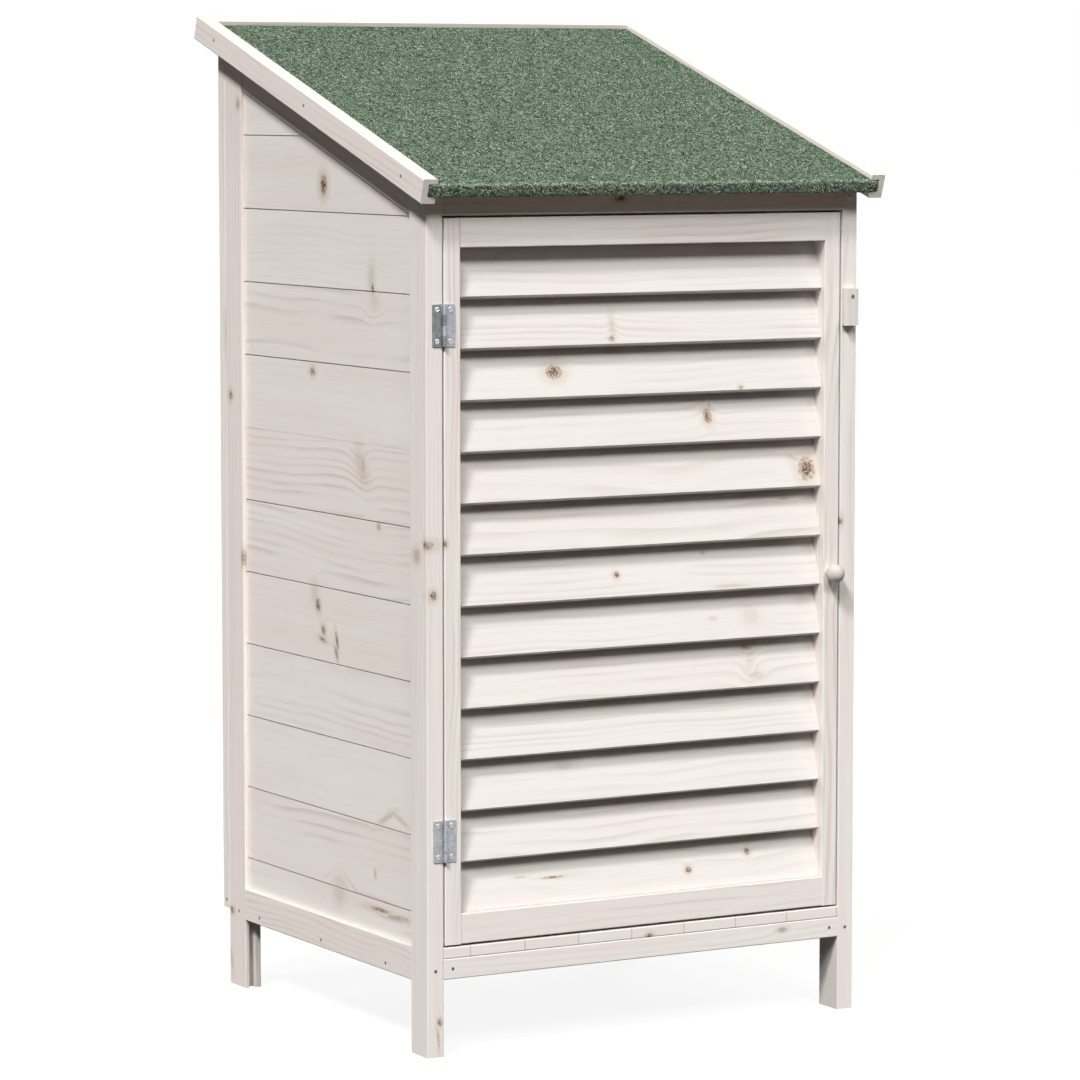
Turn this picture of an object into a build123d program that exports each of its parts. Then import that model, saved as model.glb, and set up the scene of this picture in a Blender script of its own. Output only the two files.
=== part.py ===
"""Garden tool shed with a louvred door and a felted lean-to roof.

Millimetres. X runs to the right, Y to the back and Z up. The origin is on the ground under the middle of the
bounding box, and the front of the shed faces -Y.
"""

import os
from math import cos, radians, sin, tan

from build123d import *

os.makedirs("parts", exist_ok=True)

# Carcass
BODY_WIDTH = 484.0
BODY_DEPTH = 428.0
EAVES_HEIGHT = 824.0
ROOF_PITCH = 18.1
POST_THICKNESS = 17.5
FRONT_POST_DEPTH = 33.0
REAR_POST_DEPTH = 36.0
POST_ROUND = 0.8
RAIL_ROUND = 1.2
BOTTOM_RAIL_Z = 70.5
BOTTOM_RAIL_HEIGHT = 33.0
TOP_RAIL_WIDTH = 34.0
TOP_RAIL_INSET = 2.5

# Boards and the grooves that hold them
BOARD_THICKNESS = 7.0
BOARD_PITCH = 73.7
BOARD_GAP = 1.0
TIGHT_JOINT = 7
TIGHT_GAP = 0.2
FIRST_JOINT_Z = 135.4
TONGUE_THICKNESS = 2.4
TONGUE_HEIGHT = 5.0
OUTER_LIP = 4.0
GROOVE_DEPTH = 8.0
FIT = 0.2

# Back panel
BACK_THICKNESS = 15.0
BACK_STILE_WIDTH = 36.0
BACK_RAIL_WIDTH = 33.0
BACK_BOTTOM_Z = 77.5

# Base and front
SILL_Z = 74.0
SILL_HEIGHT = 20.0
SILL_THICKNESS = 18.0
FLOOR_THICKNESS = 11.0
BEARER_WIDTH = 20.0
HEADER_HEIGHT = 24.5
HEADER_THICKNESS = 18.0
STOP_THICKNESS = 15.0
STOP_REACH = 10.0

# Door
DOOR_GAP = 2.0
DOOR_THICKNESS = 32.5
DOOR_STILE_WIDTH = 17.5
DOOR_TOP_RAIL_HEIGHT = 28.0
DOOR_BOTTOM_RAIL_HEIGHT = 29.5
DOOR_RAIL_THICKNESS = 18.0
DOOR_EDGE_ROUND = 1.2
TENON_LENGTH = 9.0
TENON_THICKNESS = 8.0
TENON_SHOULDER = 5.0
SLAT_COUNT = 13
SLAT_TILT = 18.0
SLAT_THICKNESS = 9.5
SLAT_WIDTH = 53.0
SLAT_SETBACK = 6.5
SLAT_ROUND = 0.5
SLAT_TOP_LAP = 2.6
DADO_DEPTH = 3.5

# Roof
TRIM_HEIGHT = 24.0
TRIM_WIDTH = 15.5
TRIM_GAP = 0.5
TRIM_LOWER_LIP = 6.0
TRIM_GROOVE_DEPTH = 9.0
TRIM_ROUND = 1.2
DECK_THICKNESS = 10.0
FELT_THICKNESS = 2.5
FELT_CLEARANCE = 0.5
FELT_NOSE = 1.0
ROOF_FRONT_OVERHANG = 21.5
ROOF_BACK_OVERHANG = 21.0

# Hinges, knob and turn button
HINGE_HEIGHT = 40.0
HINGE_LEAF_WIDTH = 12.0
HINGE_LEAF_THICKNESS = 1.0
HINGE_KNUCKLES = 4
KNUCKLE_RADIUS = 2.2
KNUCKLE_GAP = 0.3
PIN_RADIUS = 1.1
PIN_CLEARANCE = 0.05
HINGE_SCREW_INSET = 5.0
HINGE_SCREW_LENGTH = 14.0
HINGE_SCREW_RADIUS = 1.4
HINGE_SCREW_HEAD_RADIUS = 2.6
HINGE_SCREW_HEAD_HEIGHT = 1.0
HINGE_FROM_DOOR_END = 100.5
KNOB_RADIUS = 9.2
KNOB_NECK_RADIUS = 5.0
KNOB_STANDOFF = 11.0
KNOB_FROM_STILE_EDGE = 7.0
KNOB_BELOW_MIDDLE = 11.0
KNOB_SCREW_RADIUS = 1.75
KNOB_SCREW_HEAD_RADIUS = 3.2
KNOB_SCREW_GRIP = 8.0
BUTTON_LENGTH = 36.5
BUTTON_WIDTH = 14.2
BUTTON_THICKNESS = 8.0
BUTTON_SHORT_ARM = 7.5
BUTTON_ROUND = 0.8
BUTTON_PLAY = 0.4
BUTTON_FROM_POST_EDGE = 10.0
BUTTON_BELOW_EAVES = 109.0
BUTTON_SCREW_RADIUS = 1.1
BUTTON_SCREW_CLEARANCE = 0.06
BUTTON_SCREW_HEAD_RADIUS = 1.9
BUTTON_SCREW_HEAD_HEIGHT = 0.8
BUTTON_SCREW_LENGTH = 18.0

# Nails
NAIL_RADIUS = 0.9
NAIL_HEAD_RADIUS = 1.7
NAIL_HEAD_HEIGHT = 0.9
ROOF_NAIL_LENGTH = 26.0
ROOF_NAIL_INSET = 44.0
RAIL_NAIL_LENGTH = 30.0
RAIL_NAIL_Z = 78.0
RAIL_NAIL_SHARES = (0.20, 0.52, 0.84)
POST_NAIL_LENGTH = 46.0
POST_NAIL_LOW_Z = 83.0
POST_NAIL_TOP_DROP = 10.0
SILL_NAIL_LENGTH = 40.0
BACK_NAIL_LENGTH = 52.0

# Values that follow from the ones above
PITCH = radians(ROOF_PITCH)
RISE = tan(PITCH)
GROOVE_WIDTH = BOARD_THICKNESS + 2 * FIT
HALF = BODY_WIDTH / 2
INSIDE = HALF - POST_THICKNESS
ROOF_BACK = (BODY_DEPTH + BACK_THICKNESS) / cos(PITCH) + ROOF_BACK_OVERHANG
ROOF_LENGTH = ROOF_BACK + ROOF_FRONT_OVERHANG
TRIM_UPPER = TRIM_HEIGHT - TRIM_LOWER_LIP
DEEPEST = ROOF_BACK * cos(PITCH) + TRIM_LOWER_LIP * sin(PITCH)
FOREMOST = -ROOF_FRONT_OVERHANG * cos(PITCH) - TRIM_UPPER * sin(PITCH)
FRONT = -(DEEPEST + FOREMOST) / 2
POST_BACK = FRONT + FRONT_POST_DEPTH
REAR_POST_FRONT = FRONT + BODY_DEPTH - REAR_POST_DEPTH
CARCASS_BACK = FRONT + BODY_DEPTH
PANEL_BACK = CARCASS_BACK + BACK_THICKNESS
BOTTOM_RAIL_TOP = BOTTOM_RAIL_Z + BOTTOM_RAIL_HEIGHT
BOARD_FACE = OUTER_LIP + FIT
SILL_TOP = SILL_Z + SILL_HEIGHT
FLOOR_TOP = SILL_TOP + FLOOR_THICKNESS
DOOR_RIGHT = INSIDE - DOOR_GAP
DOOR_BOTTOM = FLOOR_TOP + DOOR_GAP
HEADER_Z = EAVES_HEIGHT - HEADER_HEIGHT
DOOR_TOP = HEADER_Z - DOOR_GAP
DOOR_BACK = FRONT + DOOR_THICKNESS
LOUVRE_LOW = DOOR_BOTTOM + DOOR_BOTTOM_RAIL_HEIGHT
LOUVRE_HIGH = DOOR_TOP - DOOR_TOP_RAIL_HEIGHT
SLAT_PITCH = (LOUVRE_HIGH - LOUVRE_LOW + SLAT_TOP_LAP) / SLAT_COUNT
STILE_INNER = DOOR_RIGHT - DOOR_STILE_WIDTH
TRIM_INNER = HALF + TRIM_GAP
TRIM_OUTER = TRIM_INNER + TRIM_WIDTH
TRIM_MIDDLE = TRIM_HEIGHT / 2 - TRIM_LOWER_LIP
TRIM_GROOVE_HEIGHT = DECK_THICKNESS + FELT_THICKNESS + FELT_CLEARANCE
DECK_HALF = TRIM_INNER + TRIM_GROOVE_DEPTH - FIT
BACK_TRIM_FRONT = ROOF_BACK - TRIM_WIDTH
DECK_BACK = BACK_TRIM_FRONT + TRIM_GROOVE_DEPTH - FIT
DECK_FRONT = FELT_THICKNESS - FELT_NOSE - ROOF_FRONT_OVERHANG
HINGE_X = -INSIDE + DOOR_GAP / 2
HINGE_Y = FRONT - KNUCKLE_RADIUS
HINGE_SCREW_X = HINGE_LEAF_WIDTH - HINGE_SCREW_INSET
HINGE_SCREW_Z = HINGE_HEIGHT / 2 - HINGE_SCREW_INSET
KNOB_X = STILE_INNER + KNOB_FROM_STILE_EDGE
KNOB_Z = (DOOR_BOTTOM + DOOR_TOP) / 2 - KNOB_BELOW_MIDDLE
BUTTON_X = HALF - BUTTON_FROM_POST_EDGE
BUTTON_Z = EAVES_HEIGHT - BUTTON_BELOW_EAVES
BUTTON_FACE = FRONT - BUTTON_PLAY - BUTTON_THICKNESS

# The roof plane is the underside of the deck: its own axes are X, up the slope, and out of the roof.
ROOF = Plane(origin=(0, FRONT, EAVES_HEIGHT), x_dir=(1, 0, 0), z_dir=(0, -sin(PITCH), cos(PITCH)))
UP_SLOPE = Axis((0, 0, 0), (0, cos(PITCH), sin(PITCH)))
CORNER = (Align.MIN, Align.MIN, Align.MIN)
FROM_HEAD = (Align.CENTER, Align.CENTER, Align.MAX)
FROM_FACE = (Align.CENTER, Align.CENTER, Align.MIN)
SIDES = {"left": -1, "right": 1}
HINGES = {"upper": DOOR_TOP - HINGE_FROM_DOOR_END, "lower": DOOR_BOTTOM + HINGE_FROM_DOOR_END}


def save(builder, name):
    """Labels a finished piece and writes its file."""
    builder.part.label = name
    export_step(builder.part, f"parts/{name}.step")


def span(side, near, far):
    """X range of a piece from near to far, counted inwards from the outer face of that side."""
    edges = (side * (HALF - near), side * (HALF - far))
    return (min(edges), max(edges))


def block(x, y, z, mode=Mode.ADD):
    """Adds or cuts a box that spans the ranges x, y and z."""
    with Locations((x[0], y[0], z[0])):
        Box(x[1] - x[0], y[1] - y[0], z[1] - z[0], align=CORNER, mode=mode)


def roof_z(y, above=0.0):
    """Height at y of the line that runs above the deck's underside by that much, square to the roof."""
    return EAVES_HEIGHT + (y - FRONT) * RISE + above / cos(PITCH)


def top_rail_low(y):
    """Lower edge of the sloping rail at y."""
    return roof_z(y, -TOP_RAIL_WIDTH)


def top_groove_end(y):
    """Where the groove in the sloping rail ends at y."""
    return roof_z(y, GROOVE_DEPTH - TOP_RAIL_WIDTH)


def under_roof(x, y, low, high, mode=Mode.ADD):
    """Adds or cuts a piece over the ranges x and y. Its edges low and high are functions of y."""
    corners = [(y[0], low(y[0])), (y[1], low(y[1])), (y[1], high(y[1])), (y[0], high(y[0]))]
    with BuildSketch(Plane.YZ.offset(x[0])) as outline:
        Polygon(*corners, align=None)
    extrude(outline.sketch, amount=x[1] - x[0], mode=mode)


def nail_holes(places, length):
    """Cuts what a nail fills in the piece that its head is in."""
    with Locations(*places):
        CounterBoreHole(NAIL_RADIUS, NAIL_HEAD_RADIUS, NAIL_HEAD_HEIGHT, depth=length)


def shank_holes(places, length):
    """Cuts what the shank of a nail fills in the pieces behind the first."""
    with Locations(*places):
        Hole(NAIL_RADIUS, depth=length)


def nails(places, length):
    """Adds flat-headed nails with their heads flush with the face."""
    with Locations(*places):
        Cylinder(NAIL_RADIUS, length, align=FROM_HEAD)
        Cylinder(NAIL_HEAD_RADIUS, NAIL_HEAD_HEIGHT, align=FROM_HEAD)


def outward(x, y, z, direction):
    """Plane at a point of a face, with its normal out of that face."""
    return Plane(origin=(x, y, z), z_dir=direction)


# Where the nails go
ROOF_NAIL_PLACES = {
    side: [
        outward(*ROOF.from_local_coords((side * TRIM_OUTER, up_slope, TRIM_MIDDLE)), (side, 0, 0))
        for up_slope in (
            ROOF_NAIL_INSET - ROOF_FRONT_OVERHANG,
            ROOF_LENGTH / 2 - ROOF_FRONT_OVERHANG,
            ROOF_BACK - ROOF_NAIL_INSET,
        )
    ]
    for side in SIDES.values()
}
RAIL_NAIL_PLACES = {
    side: [
        outward(side * HALF, FRONT + BODY_DEPTH * share, RAIL_NAIL_Z, (side, 0, 0))
        for share in RAIL_NAIL_SHARES
    ]
    for side in SIDES.values()
}
REAR_NAIL_PLACES = {
    side: [outward(side * HALF, CARCASS_BACK - REAR_POST_DEPTH * 0.58, RAIL_NAIL_Z, (side, 0, 0))]
    for side in SIDES.values()
}
LOW_NAIL_PLACES = {
    side: [outward(side * (HALF - POST_THICKNESS / 2), FRONT, POST_NAIL_LOW_Z, (0, -1, 0))]
    for side in SIDES.values()
}
TOP_NAIL_PLACES = {
    side: [outward(side * (HALF - POST_THICKNESS / 2), FRONT, EAVES_HEIGHT - POST_NAIL_TOP_DROP, (0, -1, 0))]
    for side in SIDES.values()
}
SILL_NAIL_PLACES = [
    outward(side * (INSIDE - BEARER_WIDTH / 2), FRONT, SILL_Z + SILL_HEIGHT / 2, (0, -1, 0))
    for side in SIDES.values()
]
BACK_NAIL_PLACES = {
    side: [
        outward(side * HALF, (CARCASS_BACK + PANEL_BACK) / 2, z, (side, 0, 0))
        for z in (BACK_BOTTOM_Z + BACK_RAIL_WIDTH / 4, roof_z(CARCASS_BACK) - BACK_RAIL_WIDTH / 2)
    ]
    for side in SIDES.values()
}

# Slat planes: the origin is on the lower front edge, Y runs up the slat and Z out of its front face.
TILT = radians(SLAT_TILT)
SLAT_PLANES = [
    Plane(
        origin=(0, FRONT + SLAT_SETBACK, LOUVRE_LOW + SLAT_PITCH * i),
        x_dir=(1, 0, 0),
        z_dir=(0, -cos(TILT), sin(TILT)),
    )
    for i in range(SLAT_COUNT)
]

# Side frames
for word, side in SIDES.items():
    full = span(side, 0, POST_THICKNESS)
    groove = span(side, OUTER_LIP, OUTER_LIP + GROOVE_WIDTH)
    tenon = span(side, OUTER_LIP + FIT, OUTER_LIP + GROOVE_WIDTH - FIT)
    rail_y = (POST_BACK, REAR_POST_FRONT)
    tenon_y = (POST_BACK - GROOVE_DEPTH + FIT, REAR_POST_FRONT + GROOVE_DEPTH - FIT)

    with BuildPart() as front_post:
        block(full, (FRONT, POST_BACK), (0, roof_z(POST_BACK)))
        fillet(front_post.edges().filter_by(Axis.Z), POST_ROUND)
        block(groove, (POST_BACK - GROOVE_DEPTH, POST_BACK), (0, roof_z(POST_BACK)), Mode.SUBTRACT)
        split(bisect_by=ROOF, keep=Keep.BOTTOM)
        nail_holes(LOW_NAIL_PLACES[side] + TOP_NAIL_PLACES[side], POST_NAIL_LENGTH)
        if word == "left":
            for hinge_z in HINGES.values():
                for z in (hinge_z - HINGE_SCREW_Z, hinge_z + HINGE_SCREW_Z):
                    with Locations(outward(HINGE_X - HINGE_SCREW_X, FRONT, z, (0, -1, 0))):
                        Hole(HINGE_SCREW_RADIUS, depth=HINGE_SCREW_LENGTH)
        else:
            with Locations(outward(BUTTON_X, FRONT, BUTTON_Z, (0, -1, 0))):
                Hole(BUTTON_SCREW_RADIUS, depth=BUTTON_SCREW_LENGTH)
    save(front_post, f"{word}_front_post")

    with BuildPart() as rear_post:
        block(full, (REAR_POST_FRONT, CARCASS_BACK), (0, roof_z(CARCASS_BACK)))
        fillet(rear_post.edges().filter_by(Axis.Z), POST_ROUND)
        groove_y = (REAR_POST_FRONT, REAR_POST_FRONT + GROOVE_DEPTH)
        block(groove, groove_y, (0, roof_z(CARCASS_BACK)), Mode.SUBTRACT)
        split(bisect_by=ROOF, keep=Keep.BOTTOM)
        nail_holes(REAR_NAIL_PLACES[side], RAIL_NAIL_LENGTH)
    save(rear_post, f"{word}_rear_post")

    with BuildPart() as bottom_rail:
        block(full, rail_y, (BOTTOM_RAIL_Z, BOTTOM_RAIL_TOP))
        fillet(bottom_rail.edges().filter_by(Axis.Y), RAIL_ROUND)
        block(groove, rail_y, (BOTTOM_RAIL_TOP - GROOVE_DEPTH, BOTTOM_RAIL_TOP), Mode.SUBTRACT)
        block(tenon, tenon_y, (BOTTOM_RAIL_Z, BOTTOM_RAIL_TOP - GROOVE_DEPTH))
        nail_holes(RAIL_NAIL_PLACES[side], RAIL_NAIL_LENGTH)
        shank_holes(LOW_NAIL_PLACES[side], POST_NAIL_LENGTH)
    save(bottom_rail, f"{word}_bottom_rail")

    with BuildPart() as top_rail:
        under_roof(span(side, TOP_RAIL_INSET, POST_THICKNESS), rail_y, top_rail_low, roof_z)
        fillet(top_rail.edges().filter_by(UP_SLOPE), RAIL_ROUND)
        under_roof(groove, rail_y, top_rail_low, top_groove_end, Mode.SUBTRACT)
        under_roof(tenon, tenon_y, top_groove_end, roof_z)
        shank_holes(TOP_NAIL_PLACES[side], POST_NAIL_LENGTH)
    save(top_rail, f"{word}_top_rail")

    board_low = BOTTOM_RAIL_TOP - GROOVE_DEPTH + FIT
    board_high = top_groove_end(REAR_POST_FRONT + GROOVE_DEPTH)
    joint_count = int((board_high - FIRST_JOINT_Z) / BOARD_PITCH) + 1
    joints = [FIRST_JOINT_Z + BOARD_PITCH * i for i in range(joint_count)]
    gaps = [TIGHT_GAP if i + 1 == TIGHT_JOINT else BOARD_GAP for i in range(joint_count)]
    middle = BOARD_FACE + BOARD_THICKNESS / 2
    face_x = span(side, BOARD_FACE, BOARD_FACE + BOARD_THICKNESS)
    tongue_x = span(side, middle - TONGUE_THICKNESS / 2, middle + TONGUE_THICKNESS / 2)
    slot_x = span(side, middle - TONGUE_THICKNESS / 2 - FIT, middle + TONGUE_THICKNESS / 2 + FIT)
    with BuildPart() as side_boards:
        for i in reversed(range(joint_count + 1)):
            low = joints[i - 1] + gaps[i - 1] / 2 if i else board_low
            if i == joint_count:
                block(face_x, tenon_y, (low, board_high))
            else:
                high = joints[i] - gaps[i] / 2
                block(face_x, tenon_y, (low, high))
                block(tongue_x, tenon_y, (high, high + gaps[i] + TONGUE_HEIGHT))
            if i:
                block(slot_x, tenon_y, (low, low + TONGUE_HEIGHT + FIT), Mode.SUBTRACT)
        split(bisect_by=ROOF.offset(GROOVE_DEPTH - TOP_RAIL_WIDTH - FIT), keep=Keep.BOTTOM)
    save(side_boards, f"{word}_side_boards")

    with BuildPart() as bearer:
        bearer_x = span(side, POST_THICKNESS, POST_THICKNESS + BEARER_WIDTH)
        block(bearer_x, (FRONT + SILL_THICKNESS, CARCASS_BACK), (SILL_Z, SILL_TOP))
        shank_holes(RAIL_NAIL_PLACES[side] + REAR_NAIL_PLACES[side], RAIL_NAIL_LENGTH)
        shank_holes(SILL_NAIL_PLACES, SILL_NAIL_LENGTH)
    save(bearer, f"{word}_floor_bearer")

# Back panel
back_y = (CARCASS_BACK, PANEL_BACK)
back_middle = (CARCASS_BACK + PANEL_BACK) / 2
back_groove = (back_middle - GROOVE_WIDTH / 2, back_middle + GROOVE_WIDTH / 2)
back_tenon = (back_groove[0] + FIT, back_groove[1] - FIT)
back_slot = (back_middle - TONGUE_THICKNESS / 2 - FIT, back_middle + TONGUE_THICKNESS / 2 + FIT)
back_tongue = (back_middle - TONGUE_THICKNESS / 2, back_middle + TONGUE_THICKNESS / 2)
back_inner = HALF - BACK_STILE_WIDTH
back_between = (-back_inner, back_inner)
back_tenon_x = (-back_inner - GROOVE_DEPTH + FIT, back_inner + GROOVE_DEPTH - FIT)
back_rail_top = BACK_BOTTOM_Z + BACK_RAIL_WIDTH
back_head_low = roof_z(CARCASS_BACK) - BACK_RAIL_WIDTH
all_back_nails = BACK_NAIL_PLACES[-1] + BACK_NAIL_PLACES[1]

for word, side in SIDES.items():
    with BuildPart() as back_stile:
        stile_x = span(side, 0, BACK_STILE_WIDTH)
        under_roof(stile_x, back_y, lambda y: BACK_BOTTOM_Z, roof_z)
        fillet(back_stile.edges().filter_by(Axis.Z), RAIL_ROUND)
        groove_x = span(side, BACK_STILE_WIDTH - GROOVE_DEPTH, BACK_STILE_WIDTH)
        block(groove_x, back_groove, (BACK_BOTTOM_Z, roof_z(PANEL_BACK)), Mode.SUBTRACT)
        nail_holes(BACK_NAIL_PLACES[side], BACK_NAIL_LENGTH)
    save(back_stile, f"back_{word}_stile")

with BuildPart() as back_bottom_rail:
    block(back_between, back_y, (BACK_BOTTOM_Z, back_rail_top))
    fillet(back_bottom_rail.edges().filter_by(Axis.X), RAIL_ROUND)
    block(back_between, back_groove, (back_rail_top - GROOVE_DEPTH, back_rail_top), Mode.SUBTRACT)
    block(back_tenon_x, back_tenon, (BACK_BOTTOM_Z, back_rail_top - GROOVE_DEPTH))
    shank_holes(all_back_nails, BACK_NAIL_LENGTH)
save(back_bottom_rail, "back_bottom_rail")

with BuildPart() as back_top_rail:
    under_roof(back_between, back_y, lambda y: back_head_low, roof_z)
    fillet(back_top_rail.edges().filter_by(Axis.X), RAIL_ROUND)
    block(back_between, back_groove, (back_head_low, back_head_low + GROOVE_DEPTH), Mode.SUBTRACT)
    under_roof(back_tenon_x, back_tenon, lambda y: back_head_low + GROOVE_DEPTH, roof_z)
    shank_holes(all_back_nails, BACK_NAIL_LENGTH)
save(back_top_rail, "back_top_rail")

back_board_low = back_rail_top - GROOVE_DEPTH + FIT
back_board_high = back_head_low + GROOVE_DEPTH - FIT
back_joint_count = int((back_board_high - FIRST_JOINT_Z) / BOARD_PITCH) + 1
back_joints = [FIRST_JOINT_Z + BOARD_PITCH * i for i in range(back_joint_count)]
with BuildPart() as back_boards:
    for i in reversed(range(back_joint_count + 1)):
        low = back_joints[i - 1] + BOARD_GAP / 2 if i else back_board_low
        if i == back_joint_count:
            block(back_tenon_x, back_tenon, (low, back_board_high))
        else:
            high = back_joints[i] - BOARD_GAP / 2
            block(back_tenon_x, back_tenon, (low, high))
            block(back_tenon_x, back_tongue, (high, high + BOARD_GAP + TONGUE_HEIGHT))
        if i:
            block(back_tenon_x, back_slot, (low, low + TONGUE_HEIGHT + FIT), Mode.SUBTRACT)
save(back_boards, "back_boards")

# Base and front
with BuildPart() as sill:
    block((-INSIDE, INSIDE), (FRONT, FRONT + SILL_THICKNESS), (SILL_Z, SILL_TOP))
    fillet(sill.edges().filter_by(Axis.X), RAIL_ROUND)
    nail_holes(SILL_NAIL_PLACES, SILL_NAIL_LENGTH)
save(sill, "front_sill")

with BuildPart() as floor_panel:
    block((-INSIDE, INSIDE), (FRONT, CARCASS_BACK), (SILL_TOP, FLOOR_TOP))
    fillet(floor_panel.edges().filter_by(Axis.X).group_by(Axis.Y)[0], RAIL_ROUND)
save(floor_panel, "floor_panel")

with BuildPart() as header:
    under_roof((-INSIDE, INSIDE), (FRONT, FRONT + HEADER_THICKNESS), lambda y: HEADER_Z, roof_z)
    fillet(header.edges().filter_by(Axis.X).group_by(Axis.Z)[0], RAIL_ROUND)
save(header, "front_header")

with BuildPart() as door_stop:
    stop_x = span(1, BOARD_FACE + BOARD_THICKNESS, POST_THICKNESS + STOP_REACH)
    stop_y = (POST_BACK, POST_BACK + STOP_THICKNESS)
    block(stop_x, stop_y, (FLOOR_TOP, top_rail_low(POST_BACK)))
    fillet(door_stop.edges().filter_by(Axis.Z), RAIL_ROUND)
save(door_stop, "door_stop")

# Roof
with BuildPart(ROOF) as roof_deck:
    block((-DECK_HALF, DECK_HALF), (DECK_FRONT, DECK_BACK), (0, DECK_THICKNESS))
all_roof_nails = ROOF_NAIL_PLACES[-1] + ROOF_NAIL_PLACES[1]
with BuildPart() as drilled_deck:
    add(roof_deck.part)
    shank_holes(all_roof_nails, ROOF_NAIL_LENGTH)
save(drilled_deck, "roof_deck")

felt_top = DECK_THICKNESS + FELT_THICKNESS
felt_front = DECK_FRONT - FELT_THICKNESS
with BuildPart(ROOF) as roof_felt:
    block((-DECK_HALF, DECK_HALF), (felt_front, DECK_BACK), (0, felt_top))
    block((-DECK_HALF, DECK_HALF), (DECK_FRONT, DECK_BACK), (0, DECK_THICKNESS), Mode.SUBTRACT)
    nose_edges = roof_felt.edges().filter_by(Axis.X).sort_by(UP_SLOPE)[0:2]
    fillet(nose_edges, FELT_THICKNESS * 0.8)
save(roof_felt, "roof_felt")

for word, side in SIDES.items():
    with BuildPart(ROOF) as side_trim:
        trim_x = sorted((side * TRIM_INNER, side * TRIM_OUTER))
        trim_groove_x = sorted((side * TRIM_INNER, side * (TRIM_INNER + TRIM_GROOVE_DEPTH)))
        trim_u = (-ROOF_FRONT_OVERHANG, ROOF_BACK)
        block(trim_x, trim_u, (-TRIM_LOWER_LIP, TRIM_UPPER))
        fillet(side_trim.edges().filter_by(UP_SLOPE), TRIM_ROUND)
        block(trim_groove_x, trim_u, (0, TRIM_GROOVE_HEIGHT), Mode.SUBTRACT)
    with BuildPart() as drilled_trim:
        add(side_trim.part)
        nail_holes(ROOF_NAIL_PLACES[side], ROOF_NAIL_LENGTH)
    save(drilled_trim, f"{word}_roof_trim")

with BuildPart(ROOF) as back_trim:
    back_trim_x = (-TRIM_INNER, TRIM_INNER)
    block(back_trim_x, (BACK_TRIM_FRONT, ROOF_BACK), (-TRIM_LOWER_LIP, TRIM_UPPER))
    fillet(back_trim.edges().filter_by(Axis.X), TRIM_ROUND)
    groove_u = (BACK_TRIM_FRONT, BACK_TRIM_FRONT + TRIM_GROOVE_DEPTH)
    block(back_trim_x, groove_u, (0, TRIM_GROOVE_HEIGHT), Mode.SUBTRACT)
save(back_trim, "back_roof_trim")

# Nails
with BuildPart() as roof_nails:
    nails(all_roof_nails, ROOF_NAIL_LENGTH)
save(roof_nails, "roof_nails")

with BuildPart() as side_nails:
    for side in SIDES.values():
        nails(RAIL_NAIL_PLACES[side] + REAR_NAIL_PLACES[side], RAIL_NAIL_LENGTH)
save(side_nails, "side_nails")

with BuildPart() as front_nails:
    for side in SIDES.values():
        nails(LOW_NAIL_PLACES[side] + TOP_NAIL_PLACES[side], POST_NAIL_LENGTH)
    nails(SILL_NAIL_PLACES, SILL_NAIL_LENGTH)
save(front_nails, "front_nails")

with BuildPart() as back_nails:
    nails(all_back_nails, BACK_NAIL_LENGTH)
save(back_nails, "back_nails")

# Door frame
for word, side in SIDES.items():
    stile_x = sorted((side * STILE_INNER, side * DOOR_RIGHT))
    mortise_x = sorted((side * STILE_INNER, side * (STILE_INNER + TENON_LENGTH)))
    rail_middle = FRONT + DOOR_RAIL_THICKNESS / 2
    mortise_y = (rail_middle - TENON_THICKNESS / 2, rail_middle + TENON_THICKNESS / 2)
    with BuildPart() as door_stile:
        block(stile_x, (FRONT, DOOR_BACK), (DOOR_BOTTOM, DOOR_TOP))
        fillet(door_stile.edges().filter_by(Axis.Z), DOOR_EDGE_ROUND)
        for low, high in ((DOOR_BOTTOM, LOUVRE_LOW), (LOUVRE_HIGH, DOOR_TOP)):
            block(mortise_x, mortise_y, (low + TENON_SHOULDER, high - TENON_SHOULDER), Mode.SUBTRACT)
        for plane in SLAT_PLANES:
            with Locations(plane):
                with Locations((side * STILE_INNER, -FIT, FIT)):
                    Box(
                        2 * DADO_DEPTH,
                        SLAT_WIDTH + 2 * FIT,
                        SLAT_THICKNESS + 2 * FIT,
                        align=(Align.CENTER, Align.MIN, Align.MAX),
                        mode=Mode.SUBTRACT,
                    )
        if word == "left":
            for hinge_z in HINGES.values():
                for z in (hinge_z - HINGE_SCREW_Z, hinge_z + HINGE_SCREW_Z):
                    with Locations(outward(HINGE_X + HINGE_SCREW_X, FRONT, z, (0, -1, 0))):
                        Hole(HINGE_SCREW_RADIUS, depth=HINGE_SCREW_LENGTH)
        else:
            with Locations(outward(KNOB_X, DOOR_BACK, KNOB_Z, (0, 1, 0))):
                CounterSinkHole(KNOB_SCREW_RADIUS, KNOB_SCREW_HEAD_RADIUS, counter_sink_angle=90)
    save(door_stile, f"door_{word}_stile")

for name, low, high in (
    ("door_bottom_rail", DOOR_BOTTOM, LOUVRE_LOW),
    ("door_top_rail", LOUVRE_HIGH, DOOR_TOP),
):
    with BuildPart() as door_rail:
        block((-STILE_INNER, STILE_INNER), (FRONT, FRONT + DOOR_RAIL_THICKNESS), (low, high))
        fillet(door_rail.edges().filter_by(Axis.X), DOOR_EDGE_ROUND)
        tenon_x = STILE_INNER + TENON_LENGTH
        block((-tenon_x, tenon_x), mortise_y, (low + TENON_SHOULDER, high - TENON_SHOULDER))
    save(door_rail, name)

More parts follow.
